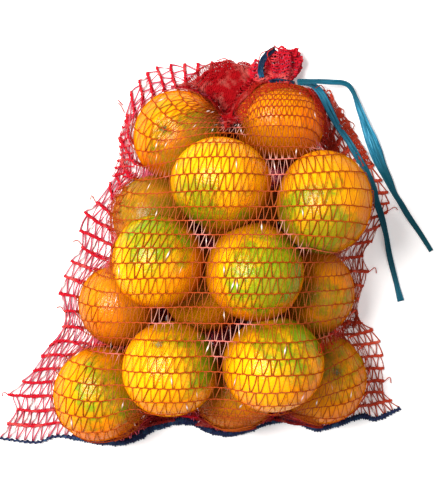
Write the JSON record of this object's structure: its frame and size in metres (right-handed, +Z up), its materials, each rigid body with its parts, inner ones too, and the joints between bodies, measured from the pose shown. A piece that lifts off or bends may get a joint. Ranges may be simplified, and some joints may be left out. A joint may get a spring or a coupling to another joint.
{
  "type": "raschel mesh bag of oranges",
  "caption": "Knitted red raschel net bag filled with oranges, lying flat, with a dark overlock hem, gathered neck, crumpled tuft and a flat drawstring tape with loose tails.",
  "frame": {"origin": "middle of the bag's bounding box, without the drawstring's tails, on the flat underside it lies on", "axes": "+Z up from the surface it lies on, +Y from the sewn hem to the gathered neck, +X across the bag to the right"},
  "size_m": [0.3656, 0.3323, 0.136],
  "materials": {
    "net": "knitted flat polyethylene threads, crimson to brownish red, slightly glossy",
    "hem": "navy overlock stitching with pale gaps",
    "tape": "creased teal polypropylene tape with a satin gloss",
    "orange_peel": "waxy dimpled citrus peel, yellow-orange with green patches"
  },
  "bodies": {
    "root": {"net_bag": "net", "hem_seam": "hem", "drawstring_wrap": "tape", "drawstring_loop": "tape", "drawstring_tail_a": "tape", "drawstring_tail_b": "tape"}
  },
  "joints": []
}
